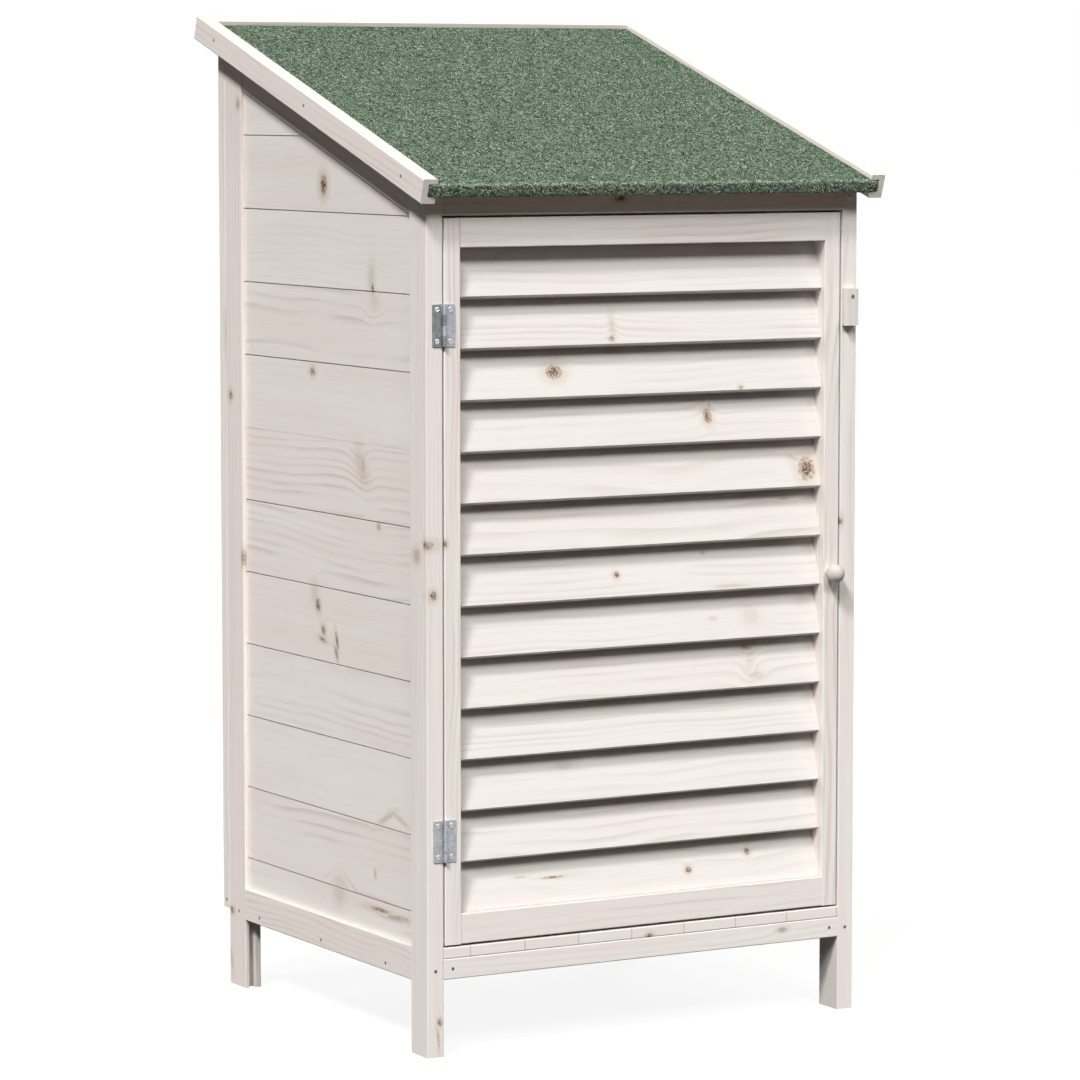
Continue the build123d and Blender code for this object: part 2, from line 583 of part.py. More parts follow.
# Slats are numbered from the bottom. The lowest is cut level where it meets the bottom rail.
for i, plane in enumerate(SLAT_PLANES):
    with BuildPart() as slat:
        with Locations(plane):
            Box(
                2 * (STILE_INNER + DADO_DEPTH - FIT),
                SLAT_WIDTH,
                SLAT_THICKNESS,
                align=(Align.CENTER, Align.MIN, Align.MAX),
            )
        fillet(slat.edges().filter_by(Axis.X), SLAT_ROUND)
        if i == 0:
            split(bisect_by=Plane.XY.offset(LOUVRE_LOW), keep=Keep.TOP)
    save(slat, f"door_slat_{i + 1:02d}")

# Knob
with BuildPart() as knob:
    with Locations((KNOB_X, FRONT - KNOB_STANDOFF, KNOB_Z)):
        Sphere(KNOB_RADIUS)
    with Locations(outward(KNOB_X, FRONT, KNOB_Z, (0, 1, 0))):
        Cylinder(KNOB_NECK_RADIUS, KNOB_STANDOFF, align=FROM_HEAD)
    with Locations(outward(KNOB_X, FRONT, KNOB_Z, (0, 1, 0))):
        Hole(KNOB_SCREW_RADIUS, depth=KNOB_SCREW_GRIP)
save(knob, "door_knob")

with BuildPart() as knob_screw:
    with Locations(outward(KNOB_X, DOOR_BACK, KNOB_Z, (0, 1, 0))):
        Cylinder(KNOB_SCREW_RADIUS, DOOR_THICKNESS + KNOB_SCREW_GRIP, align=FROM_HEAD)
        Cone(
            KNOB_SCREW_RADIUS,
            KNOB_SCREW_HEAD_RADIUS,
            KNOB_SCREW_HEAD_RADIUS - KNOB_SCREW_RADIUS,
            align=FROM_HEAD,
        )
save(knob_screw, "knob_screw")

# Hinges. The knuckles are counted from the bottom: the even ones belong to the post leaf.
KNUCKLE_LENGTH = HINGE_HEIGHT / HINGE_KNUCKLES
LEAF_HOLE_RADIUS = HINGE_SCREW_RADIUS + FIT


def hinge_leaf(direction, first, hinge_z):
    """Half a butt hinge: a plate on the face, and every second knuckle from first upwards."""
    low = hinge_z - HINGE_HEIGHT / 2
    plate_x = sorted((HINGE_X, HINGE_X + direction * HINGE_LEAF_WIDTH))
    plate_y = (FRONT - HINGE_LEAF_THICKNESS, FRONT)
    notch = KNUCKLE_RADIUS + 2 * KNUCKLE_GAP
    notch_x = sorted((HINGE_X, HINGE_X + direction * notch))
    with BuildPart() as leaf:
        block(plate_x, plate_y, (low, low + HINGE_HEIGHT))
        far_edges = leaf.edges().filter_by(Axis.Y).sort_by(Axis.X)
        fillet(far_edges[-2:] if direction > 0 else far_edges[:2], HINGE_LEAF_THICKNESS)
        for i in range(HINGE_KNUCKLES):
            bottom = low + KNUCKLE_LENGTH * i
            if i % 2 == first:
                with Locations((HINGE_X, HINGE_Y, bottom + KNUCKLE_GAP / 2)):
                    Cylinder(
                        KNUCKLE_RADIUS,
                        KNUCKLE_LENGTH - KNUCKLE_GAP,
                        align=FROM_FACE,
                    )
            else:
                notch_z = (bottom - KNUCKLE_GAP / 2, bottom + KNUCKLE_LENGTH + KNUCKLE_GAP / 2)
                block(notch_x, plate_y, notch_z, Mode.SUBTRACT)
        with Locations((HINGE_X, HINGE_Y, hinge_z)):
            Cylinder(PIN_RADIUS + PIN_CLEARANCE, 2 * HINGE_HEIGHT, mode=Mode.SUBTRACT)
        for z in (hinge_z - HINGE_SCREW_Z, hinge_z + HINGE_SCREW_Z):
            with Locations(outward(HINGE_X + direction * HINGE_SCREW_X, plate_y[0], z, (0, -1, 0))):
                Hole(LEAF_HOLE_RADIUS)
    return leaf


def hinge_screws(direction):
    """The four screws on one side of both hinges, with domed heads on the leaf."""
    with BuildPart() as screws:
        for hinge_z in HINGES.values():
            for z in (hinge_z - HINGE_SCREW_Z, hinge_z + HINGE_SCREW_Z):
                x = HINGE_X + direction * HINGE_SCREW_X
                with Locations(outward(x, FRONT, z, (0, -1, 0))):
                    Cylinder(HINGE_SCREW_RADIUS, HINGE_SCREW_LENGTH, align=FROM_HEAD)
                    Cylinder(HINGE_SCREW_RADIUS, HINGE_LEAF_THICKNESS, align=FROM_FACE)
                with Locations(outward(x, FRONT - HINGE_LEAF_THICKNESS, z, (0, -1, 0))):
                    Cone(
                        HINGE_SCREW_HEAD_RADIUS,
                        HINGE_SCREW_HEAD_RADIUS * 0.55,
                        HINGE_SCREW_HEAD_HEIGHT,
                        align=FROM_FACE,
                    )
    return screws


for word, hinge_z in HINGES.items():
    save(hinge_leaf(-1, 0, hinge_z), f"{word}_hinge_post_leaf")
    save(hinge_leaf(1, 1, hinge_z), f"{word}_hinge_door_leaf")
    with BuildPart() as pin:
        with Locations((HINGE_X, HINGE_Y, hinge_z)):
            Cylinder(PIN_RADIUS, HINGE_HEIGHT)
    save(pin, f"{word}_hinge_pin")

save(hinge_screws(-1), "hinge_post_screws")
save(hinge_screws(1), "hinge_door_screws")

# Turn button, stored upright with its long arm hanging clear of the door
with BuildPart() as turn_button:
    button_x = (BUTTON_X - BUTTON_WIDTH / 2, BUTTON_X + BUTTON_WIDTH / 2)
    button_z = (BUTTON_Z + BUTTON_SHORT_ARM - BUTTON_LENGTH, BUTTON_Z + BUTTON_SHORT_ARM)
    block(button_x, (BUTTON_FACE, BUTTON_FACE + BUTTON_THICKNESS), button_z)
    fillet(turn_button.edges().filter_by(Axis.Z), BUTTON_ROUND)
    with Locations(outward(BUTTON_X, BUTTON_FACE, BUTTON_Z, (0, -1, 0))):
        Hole(BUTTON_SCREW_RADIUS + BUTTON_SCREW_CLEARANCE)
save(turn_button, "turn_button")

with BuildPart() as button_screw:
    neck = BUTTON_PLAY * 2 + BUTTON_THICKNESS
    with Locations(outward(BUTTON_X, FRONT - neck, BUTTON_Z, (0, -1, 0))):
        Cylinder(BUTTON_SCREW_RADIUS, neck + BUTTON_SCREW_LENGTH, align=FROM_HEAD)
        Cone(
            BUTTON_SCREW_HEAD_RADIUS,
            BUTTON_SCREW_HEAD_RADIUS * 0.5,
            BUTTON_SCREW_HEAD_HEIGHT,
            align=FROM_FACE,
        )
save(button_screw, "turn_button_screw")
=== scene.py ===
"""Looks of a garden tool shed with a louvred door and a felted lean-to roof.

Metres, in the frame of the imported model: X runs to the right, Y to the back and Z up, and the front faces -Y.
The patterns of the finishes are worked out in millimetres on Object coordinates.
"""

import math
from collections import namedtuple

import bpy
import numpy as np
from mathutils import Matrix, Vector


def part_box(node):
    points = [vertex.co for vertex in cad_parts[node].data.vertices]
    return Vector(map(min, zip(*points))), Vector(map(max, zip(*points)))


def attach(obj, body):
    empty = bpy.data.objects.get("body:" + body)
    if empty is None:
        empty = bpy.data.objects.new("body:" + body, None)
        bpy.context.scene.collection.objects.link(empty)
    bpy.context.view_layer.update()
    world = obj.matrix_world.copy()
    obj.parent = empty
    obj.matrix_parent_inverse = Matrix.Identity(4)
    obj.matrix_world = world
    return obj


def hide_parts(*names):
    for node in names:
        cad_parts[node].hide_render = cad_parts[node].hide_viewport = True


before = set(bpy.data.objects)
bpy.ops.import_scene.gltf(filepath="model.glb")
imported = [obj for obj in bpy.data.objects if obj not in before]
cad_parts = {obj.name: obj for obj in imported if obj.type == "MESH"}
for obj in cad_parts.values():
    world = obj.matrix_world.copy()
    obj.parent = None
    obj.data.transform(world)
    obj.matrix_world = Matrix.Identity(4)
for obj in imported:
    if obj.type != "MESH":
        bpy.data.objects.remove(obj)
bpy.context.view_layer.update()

MM = 0.001

# The roof's own axes: x, u up the slope and n out of it, in millimetres from the eaves line.
ROOF_PITCH = math.radians(18.1)
EAVES = 824.0
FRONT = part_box("left_front_post")[0].y / MM

# Side and back boards
BOARD_PITCH = 73.7
FIRST_JOINT = 135.4

# Glued blocks along the floor's edge: the first joint and the width of a block
Blocks = namedtuple("Blocks", "first width")
FLOOR_BLOCKS = Blocks(-195.4, 59.8)
SLAT_COUNT = 13

# Screws of the hinges: a domed head with a cross pressed into it, on a plain shank
SCREW_HEAD_RADIUS = 2.6
SCREW_HEAD_HEIGHT = 1.0
SCREW_HEAD_DROP = 0.55
SCREW_RADIUS = 1.4
SCREW_DEPTH = 15.0
SCREW_SPACING = 30.0
SCREW_SIDES = 48
SCREW_RING_STEP = 0.3
SCREW_MIDDLE = 0.02
CROSS_HALF_WIDTH = 0.52
CROSS_WALL = 0.2
CROSS_REACH = 1.7
CROSS_END = 0.25
CROSS_DEPTH = 0.6
CROSS_ANGLE = 0.3
CROSS_TURN = 0.9

# Roofing felt
FELT_TOP = 12.5
FELT_UNDERSIDE = 10.0
FELT_NOSE_U = -22.5
DECK_FRONT_U = -20.0
NOSE_ROUND = 2.0
FELT_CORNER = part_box("roof_felt")[1] / MM
FELT_HALF = FELT_CORNER.x
FELT_BACK_U = (FELT_CORNER.y - FRONT + FELT_UNDERSIDE * math.sin(ROOF_PITCH)) / math.cos(ROOF_PITCH)
FELT_SHOWN_HALF = 241.5
FELT_SHOWN_BACK = 470.5
FELT_STEP = 2.2
FELT_SWELL = 0.28
FELT_TRIM_EASE = 4.0
NOSE_END = 6.0
NOSE_PINCH = 0.7
FELT_SEED = 5

# Granules of the felt: ranges of their sizes, the mean and spread of their lift and tone, and the bands at
# the felt's lip and nose
GRANULE_COUNT = 46000
GRANULE_SEEDS = (21, 22)
GRANULE_LENGTH = (1.3, 3.4)
GRANULE_WIDTH = (0.5, 1.0)
GRANULE_HEIGHT = (0.4, 0.85)
GRANULE_STAND = (0.0, 0.4)
GRANULE_LIFT = (0.2, 0.3)
GRANULE_TONE = (0.5, 0.3)
GRANULE_LINE_STEP = 0.5
LIP_SHARE = 0.03
LIP_BAND = 14.0
LIP_MARGIN = 1.0
NOSE_BAND = 5.0
NOSE_EASE = 4.0

# Camera of the photograph: its place, its turn about Z, its tilt below the horizon and its lens
CAMERA_PLACE = (-2.2393, -3.9113, 0.9091)
CAMERA_YAW = math.radians(29.870)
CAMERA_TILT = math.radians(5.625)
CAMERA_LENS = 149.455
SENSOR_WIDTH = 36.0


def ink(red, green, blue):
    """A colour given as it looks on screen, 0 to 255, as linear light with alpha."""
    share = np.array((red, green, blue)) / 255
    light = np.where(share <= 0.04045, share / 12.92, ((share + 0.055) / 1.055) ** 2.4)
    return (*light.tolist(), 1.0)


# Shader arithmetic


def feed(entry, value):
    """Links a field or a socket to an input, or sets a plain value on it."""
    if isinstance(value, Field):
        value = value.socket
    if isinstance(value, bpy.types.NodeSocket):
        entry.id_data.links.new(value, entry)
    else:
        entry.default_value = value


class Field:
    """A number that varies over a surface: one output of a shader node. Arithmetic on it adds nodes."""

    def __init__(self, socket):
        self.socket = socket

    def math(self, operation, *others):
        node = self.socket.id_data.nodes.new("ShaderNodeMath")
        node.operation = operation
        for entry, value in zip(node.inputs, (self, *others)):
            feed(entry, value)
        return Field(node.outputs[0])

    def __add__(self, other):
        return self.math("ADD", other)

    def __sub__(self, other):
        return self.math("SUBTRACT", other)

    def __mul__(self, other):
        return self.math("MULTIPLY", other)

    def __truediv__(self, other):
        return self.math("DIVIDE", other)

    def ease(self, start, end, low=0.0, high=1.0):
        """Runs smoothly from low at start to high at end."""
        node = self.socket.id_data.nodes.new("ShaderNodeMapRange")
        node.interpolation_type = "SMOOTHSTEP"
        for entry, value in zip(node.inputs, (self, start, end, low, high)):
            feed(entry, value)
        return Field(node.outputs[0])


def highest(fields):
    """The greatest of several fields at each point."""
    most, *others = fields
    for other in others:
        most = most.math("MAXIMUM", other)
    return most


# Places of the colour sockets on a Mix node
MIX_SHARE, MIX_FIRST, MIX_SECOND, MIX_RESULT = 0, 6, 7, 2


class Finish:
    """A material in the making, with short ways to add the nodes that the finishes here share."""

    def __init__(self, name):
        self.material = bpy.data.materials.new(name)
        self.material.use_nodes = True
        self.tree = self.material.node_tree
        self.shader = self.tree.nodes["Principled BSDF"]

    def add(self, kind, inputs=None, **settings):
        """A new shader node with its settings, its inputs linked or set."""
        node = self.tree.nodes.new("ShaderNode" + kind)
        for name, value in settings.items():
            setattr(node, name, value)
        for name, value in (inputs or {}).items():
            feed(node.inputs[name], value)
        return node

    def place(self, turn=0.0):
        """Object coordinates in millimetres as three fields, turned about X by that angle."""
        spot = self.add("TexCoord")
        scale = (1 / MM, 1 / MM, 1 / MM)
        inputs = {"Vector": spot.outputs["Object"], "Rotation": (turn, 0, 0), "Scale": scale}
        turned = self.add("Mapping", inputs)
        parts = self.add("SeparateXYZ", {"Vector": turned.outputs[0]})
        return [Field(out) for out in parts.outputs]

    def cloud(self, x, y, z, detail=2.0):
        """Soft noise between 0 and 1, whose lumps are about one unit of x, y and z."""
        spot = self.add("CombineXYZ", {"X": x, "Y": y, "Z": z})
        inputs = {"Vector": spot.outputs[0], "Scale": 1.0, "Detail": detail}
        return Field(self.add("TexNoise", inputs).outputs["Fac"])

    def mix(self, share, first, second):
        """One colour over another, by a share that varies."""
        node = self.add("Mix", data_type="RGBA")
        for place, value in ((MIX_SHARE, share), (MIX_FIRST, first), (MIX_SECOND, second)):
            feed(node.inputs[place], value)
        return node.outputs[MIX_RESULT]

    def surface(self, **sockets):
        """Sets the shader's sockets, named with an underscore for each blank."""
        for name, value in sockets.items():
            feed(self.shader.inputs[name.replace("_", " ")], value)

    def bump(self, height, strength, depth):
        """Relief of a height field on the shader's normal."""
        inputs = {"Height": height, "Strength": strength, "Distance": depth}
        self.surface(Normal=self.add("Bump", inputs).outputs[0])


def dress(node, finish):
    """Gives a CAD node its finish."""
    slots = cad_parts[node].data.materials
    slots.clear()
    slots.append(finish.material)


# Stained pine

WHITE_STAIN = ink(243, 239, 233)
ROSY_STAIN = ink(241, 232, 226)
# The slats' stains are darker copies of the white and rosy stains: painted shade for the tilted slats, which
# face up into more light
SLAT_SHADED_STAIN = ink(226, 223, 218)
ROSY_SLAT_SHADED_STAIN = ink(226, 220, 215)
KNOB_STAIN = ink(206, 202, 195)
BUTTON_STAIN = ink(229, 225, 219)
# Painted shade for faces that look up: a greyer, darker colour than the stain
TOP_PAINTED_SHADE = ink(202, 200, 194)
LATE_WOOD = ink(184, 168, 156)
KNOT_HALO = ink(206, 191, 174)
KNOT_WOOD = ink(156, 126, 98)
KNOT_DARK = ink(66, 50, 40)
LATE_WOOD_SHARE = 0.38
FIBRE_SHARE = 0.10

# Grain in millimetres: how far the pith lies beside and behind the middle of a member, and the width of its
# year rings and of its bands of tint, for upright members and for the others
PITH_ASIDE = (26, 70)
UPRIGHT_PITH, UPRIGHT_RING, UPRIGHT_BAND = (26, 60), (4.0, 6.5), 11.0
LEVEL_PITH, LEVEL_RING, LEVEL_BAND = (10, 36), (6.0, 9.5), 30.0

# A knot: the axis across its face (x on the front, y on the left side), where it lies on that axis and up z,
# its half sizes, its lean in degrees, and how dark it is
Knot = namedtuple("Knot", "face across up wide tall lean dark")
KNOT_DEPTH = 8.0

# Marks of a member's knots: how far they push the year rings aside, their cores, halos and dark rims
KnotMarks = namedtuple("KnotMarks", "push core halo rim")


def knot_reach(place, knot, low=None):
    """Distance from a knot's middle, where 1 is its outline: an ellipse that leans in its face. In a post it
    also grows with the depth below that face."""
    lean = math.radians(knot.lean)
    dp = place[knot.face] - knot.across
    dq = place["z"] - knot.up
    across = dp * (math.cos(lean) / knot.wide) + dq * (math.sin(lean) / knot.wide)
    along = dq * (math.cos(lean) / knot.tall) - dp * (math.sin(lean) / knot.tall)
    square = across * across + along * along
    if low is not None:
        inward = "y" if knot.face == "x" else "x"
        deep = (place[inward] - getattr(low, inward)) / KNOT_DEPTH
        square = square + deep * deep
    return square.math("SQRT")


def grain_axes(finish, node, along):
    """Fields along and across the grain of a member, and the member's middle in the two across."""
    if along == "slope":
        turned = finish.place(-ROOF_PITCH)
        low, high = [Matrix.Rotation(-ROOF_PITCH, 3, "X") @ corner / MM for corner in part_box(node)]
        return turned[1], turned[0], turned[2], (low.x + high.x) / 2, (low.z + high.z) / 2
    place = dict(zip("xyz", finish.place()))
    low, high = [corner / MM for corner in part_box(node)]
    across = [axis for axis in "xyz" if axis != along]
    middle = [(getattr(low, axis) + getattr(high, axis)) / 2 for axis in across]
    return place[along], place[across[0]], place[across[1]], *middle


def board_grain(finish, u, v, middle_u, seed):
    """Chances for each board of a wall, by its number: the distance from its pith in u and v, a start along
    the grain, how strongly it is figured, and its tint."""
    board = ((v - FIRST_JOINT) / BOARD_PITCH).math("FLOOR")
    chance = finish.add("TexWhiteNoise", {"W": board + seed}, noise_dimensions="1D")
    parted = finish.add("SeparateColor", {"Color": chance.outputs["Color"]})
    first, second, third = [Field(out) for out in parted.outputs]
    du = u - middle_u + second * 36.0 + 10.0
    dv = v - (board + 0.5) * BOARD_PITCH - FIRST_JOINT + (first - 0.5) * 120.0
    return du, dv, third * 5000.0, third.ease(0.2, 0.9, 0.12, 1.0), (first - 0.5) * 0.3


def mark_knots(finish, place, knots, low):
    """Marks of the knots by the distance from each, with an outline made ragged by noise. The push on the
    rings dies away as a bell."""
    rough = (finish.cloud(place["x"] / 2.6, place["y"] / 2.6, place["z"] / 2.6, 3.0) - 0.5) * 0.8
    push, cores, halos, rims = 0.0, [], [], []
    for knot in knots:
        reach = knot_reach(place, knot, low)
        push = (reach * reach * -0.14).math("EXPONENT") * (1.6 * min(knot.wide, knot.tall)) + push
        ragged = reach + rough
        cores.append(ragged.ease(1.35, 0.35, 0.0, knot.dark))
        halos.append(ragged.ease(3.0, 0.9, 0.0, 0.16 + 0.42 * knot.dark))
        rims.append(ragged.ease(0.70, 1.0) * ragged.ease(1.32, 1.04, 0.0, knot.dark))
    return KnotMarks(push, highest(cores), highest(halos), highest(rims))


def stain_knots(finish, place, marks, colour):
    """A colour with the knots on it: pale halos, flecked brown cores, and dark hearts and rims."""
    fleck = finish.cloud(place["x"] / 1.5, place["y"] / 1.5, place["z"] / 2.2, 2.0)
    colour = finish.mix(marks.halo, colour, KNOT_HALO)
    colour = finish.mix(marks.core * fleck.ease(0.74, 0.44, 0.35, 1.0), colour, KNOT_WOOD)
    heart = marks.core.ease(0.30, 0.95, 0.0, 0.9) * fleck.ease(0.58, 0.42)
    rim = marks.rim * fleck.ease(0.62, 0.40, 0.0, 0.55)
    return finish.mix(highest([heart, rim]), colour, KNOT_DARK)


def stained_pine(
    node, along, seed, knots=(), boards=False, blocks=None, stains=(WHITE_STAIN, ROSY_STAIN), rosy=0.0
):
    """White-stained pine. Late wood is a thin dark line at the end of each year ring. Rings are the distance
    from a pith that wanders along the member. They are pushed aside round the knots, and fade where they lie
    flat in the face. Fibres and tints are noise drawn out along the grain. A member of boards has another
    pith in each, and one of glued blocks a fine joint between them."""
    draw = np.random.default_rng(seed)
    finish = Finish(f"stained_pine_{node}")
    place = dict(zip("xyz", finish.place()))
    s, u, v, middle_u, middle_v = grain_axes(finish, node, along)
    upright = along == "z"

    side = draw.choice([-1.0, 1.0])
    aside = draw.uniform(*PITH_ASIDE) * side
    deep = draw.uniform(*(UPRIGHT_PITH if upright else LEVEL_PITH))
    ring_width = draw.uniform(*(UPRIGHT_RING if upright else LEVEL_RING))
    figure = draw.uniform(0.4, 1.0)
    own = s + float(draw.uniform(0, 4000))
    du = u - (middle_u + deep)
    dv = v - (middle_v + aside)
    if boards:
        du, dv, shift, figure, rosy = board_grain(finish, u, v, middle_u, seed)
        own = own + shift
    if blocks:
        block = (s - blocks.first) / blocks.width
        own = own + block.math("FLOOR") * 700.0

    du = du + (finish.cloud(own / 420.0, seed * 1.7, 0.0) - 0.5) * 30.0
    dv = dv + (finish.cloud(own / 380.0, seed * 2.3, 7.0) - 0.5) * 36.0
    rings = (du * du + dv * dv).math("SQRT")
    lying = (dv / rings).math("ABSOLUTE").ease(0.12, 0.5)
    rings = rings + (finish.cloud(own / 90.0, u / 24.0, v / 24.0) - 0.5) * 4.0
    if knots:
        marks = mark_knots(finish, place, knots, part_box(node)[0] / MM if upright else None)
        rings = rings + marks.push

    uneven = finish.cloud(rings / 17.0, seed * 3.1, 3.0)
    phase = (rings / ring_width + uneven * 1.8).math("FRACT")
    late = phase.ease(0.38, 0.88) * phase.ease(1.0, 0.90) * lying
    hidden = finish.cloud(own / 170.0, u / 26.0, v / 26.0, 3.0).ease(0.40, 0.66, 0.12, 1.0)
    fibre = finish.cloud(own / 46.0, u / 0.9, v / 0.9, 3.0)
    band = UPRIGHT_BAND if upright else LEVEL_BAND
    tint = finish.cloud(own / 360.0, u / band, v / band, 3.0) + rosy

    colour = finish.mix(tint.ease(0.30, 0.70), *stains)
    grain = late * hidden * figure * LATE_WOOD_SHARE + fibre.ease(0.44, 0.80, 0.0, FIBRE_SHARE)
    colour = finish.mix(grain, colour, LATE_WOOD)
    if blocks:
        joint = block.math("FRACT").math("PINGPONG", 0.5)
        colour = finish.mix(joint.ease(0.45 / blocks.width, 0.9 / blocks.width, 0.55, 0.0), colour, LATE_WOOD)
    if knots:
        colour = stain_knots(finish, place, marks, colour)
    # Faces that look up get the greyer colour mixed in: painted shade that holds the tops down under the lamps
    faced = finish.add("TexCoord").outputs["Normal"]
    upward = Field(finish.add("SeparateXYZ", {"Vector": faced}).outputs["Z"])
    colour = finish.mix(upward.ease(0.72, 0.92), colour, TOP_PAINTED_SHADE)
    finish.surface(Base_Color=colour, Roughness=0.75, Specular_IOR_Level=0.15)
    finish.bump(fibre * 0.6 - late * 0.5, 0.2, 0.25 * MM)
    return finish


# Knots that show, in millimetres of the part
LEFT_BOARD_KNOTS = [
    Knot("y", -2.0, 825.0, 6.5, 8.5, 0, 0.95),
    Knot("y", -102.0, 737.0, 5.0, 11.0, 4, 0.22),
    Knot("y", -104.4, 727.5, 2.2, 4.0, 0, 0.85),
    Knot("y", -108.0, 717.0, 6.0, 6.0, 0, 0.10),
    Knot("y", 23.3, 641.5, 5.0, 3.6, 0, 0.70),
    Knot("y", -79.6, 554.4, 7.5, 13.0, -28, 0.20),
    Knot("y", -84.2, 557.4, 1.8, 4.5, 0, 0.45),
    Knot("y", -115.2, 499.4, 3.4, 2.6, 0, 0.60),
    Knot("y", 20.9, 422.4, 6.0, 8.0, -20, 0.16),
    Knot("y", 13.9, 411.3, 4.2, 5.5, -20, 0.90),
    Knot("y", 2.4, 387.7, 3.6, 4.5, -25, 0.75),
    Knot("y", 4.0, 378.0, 7.0, 2.2, 10, 0.65),
    Knot("y", -26.7, 380.0, 2.2, 7.5, -15, 0.75),
    Knot("y", -25.3, 367.0, 2.4, 6.5, -25, 0.65),
    Knot("y", -129.0, 218.5, 14.0, 2.2, -25, 0.36),
    Knot("y", -156.0, 221.0, 14.0, 2.0, 16, 0.26),
    Knot("y", -105.8, 160.4, 2.0, 3.2, 0, 0.45),
    Knot("y", -30.0, 131.6, 9.0, 11.0, 0, 0.16),
    Knot("y", -114.6, 126.6, 17.0, 1.8, 0, 0.75),
    Knot("y", -152.1, 124.1, 18.0, 2.2, -4, 0.50),
]
REAR_POST_KNOTS = [
    Knot("y", 178.0, 903.7, 3.6, 5.0, 0, 0.50),
    Knot("y", 199.0, 608.1, 3.6, 4.2, 0, 0.85),
    Knot("y", 173.5, 443.8, 3.0, 7.0, 0, 0.60),
    Knot("y", 204.0, 76.6, 4.5, 3.2, 0, 0.75),
    Knot("y", 206.0, 27.8, 3.0, 10.0, -15, 0.28),
]
FRONT_POST_KNOTS = [
    Knot("x", -234.9, 442.2, 3.2, 3.8, 0, 0.85),
    Knot("x", -228.9, 33.7, 2.2, 3.2, 0, 0.70),
    Knot("x", -230.6, 18.0, 1.0, 8.0, 6, 0.45),
    Knot("y", -217.0, 490.2, 3.6, 4.0, 0, 0.85),
    Knot("y", -199.6, 478.9, 6.0, 6.0, -20, 0.45),
]
SLAT_KNOTS = {
    12: [Knot("x", -32.1, 690.8, 2.6, 9.0, 0, 0.22), Knot("x", -34.8, 679.4, 3.0, 2.2, 0, 0.70)],
    11: [
        Knot("x", -24.6, 667.0, 9.0, 3.5, 0, 0.18),
        Knot("x", -95.9, 648.7, 8.0, 5.6, 0, 0.90),
        Knot("x", 111.6, 627.9, 2.4, 2.0, 0, 0.75),
    ],
    10: [Knot("x", 77.8, 600.2, 4.2, 6.2, 0, 0.85), Knot("x", 81.5, 611.0, 1.6, 1.6, 0, 0.40)],
    9: [Knot("x", 191.9, 544.6, 8.0, 10.0, -15, 0.85), Knot("x", 178.9, 555.3, 7.0, 2.0, -20, 0.35)],
    8: [Knot("x", 170.5, 515.7, 5.0, 1.6, 0, 0.35)],
    7: [
        Knot("x", -26.3, 450.1, 3.0, 2.7, 0, 0.85),
        Knot("x", 75.5, 466.5, 2.0, 1.6, 0, 0.40),
        Knot("x", 101.3, 433.2, 16.0, 1.6, 0, 0.30),
    ],
    6: [Knot("x", 84.0, 401.4, 4.0, 1.6, 0, 0.20), Knot("x", 128.0, 402.8, 7.0, 8.0, 20, 0.12)],
    5: [
        Knot("x", 125.3, 369.6, 6.0, 2.6, 0, 0.55),
        Knot("x", 128.0, 357.0, 3.5, 11.0, -15, 0.12),
        Knot("x", 133.2, 342.5, 7.0, 3.0, 0, 0.22),
    ],
    3: [Knot("x", -82.8, 268.5, 8.0, 4.0, 0, 0.16)],
    1: [
        Knot("x", 56.2, 154.5, 3.0, 2.8, 0, 0.95),
        Knot("x", 126.8, 166.5, 2.6, 3.2, 0, 0.80),
        Knot("x", -97.0, 160.0, 10.5, 1.0, 0, 0.70),
        Knot("x", -131.6, 162.9, 6.0, 0.8, 0, 0.40),
    ],
}

# Members: the axis that the grain follows, and the knots
MEMBERS = {
    "left_front_post": ("z", FRONT_POST_KNOTS),
    "right_front_post": ("z", [Knot("x", 224.5, 491.9, 2.2, 3.2, 0, 0.80)]),
    "left_rear_post": ("z", REAR_POST_KNOTS),
    "right_rear_post": ("z", []),
    "left_bottom_rail": ("y", []),
    "right_bottom_rail": ("y", []),
    "left_top_rail": ("slope", []),
    "right_top_rail": ("slope", []),
    "left_floor_bearer": ("y", []),
    "right_floor_bearer": ("y", []),
    "left_roof_trim": ("slope", []),
    "right_roof_trim": ("slope", []),
    "back_roof_trim": ("x", []),
    "back_left_stile": ("z", [Knot("y", 209.5, 677.0, 0.8, 17.0, 0, 0.40)]),
    "back_right_stile": ("z", []),
    "back_top_rail": ("x", []),
    "back_bottom_rail": ("x", []),
    "front_sill": ("x", [Knot("x", 158.4, 87.0, 4.5, 2.2, 0, 0.55)]),
    "front_header": ("x", [Knot("x", -29.8, 814.2, 6.0, 3.2, 0, 0.80)]),
    "door_stop": ("z", []),
    "door_left_stile": ("z", [Knot("x", -221.5, 490.8, 2.0, 3.0, 0, 0.80)]),
    "door_right_stile": ("z", []),
    "door_top_rail": ("x", []),
    "door_bottom_rail": ("x", []),
}
ROSY_MEMBERS = {"left_rear_post": 0.16, "left_roof_trim": 0.1, "left_bottom_rail": 0.1}
BOARD_WALLS = {
    "left_side_boards": ("y", LEFT_BOARD_KNOTS),
    "right_side_boards": ("y", []),
    "back_boards": ("x", []),
}
FLOOR_KNOTS = [Knot("x", 4.1, 95.4, 3.6, 2.4, 0, 0.80)]

# Seeds of the grain, the first of each kind
MEMBER_SEED, SLAT_SEED, BOARD_SEED = 11, 61, 81
FLOOR_SEED, KNOB_SEED, BUTTON_SEED = 84, 85, 86


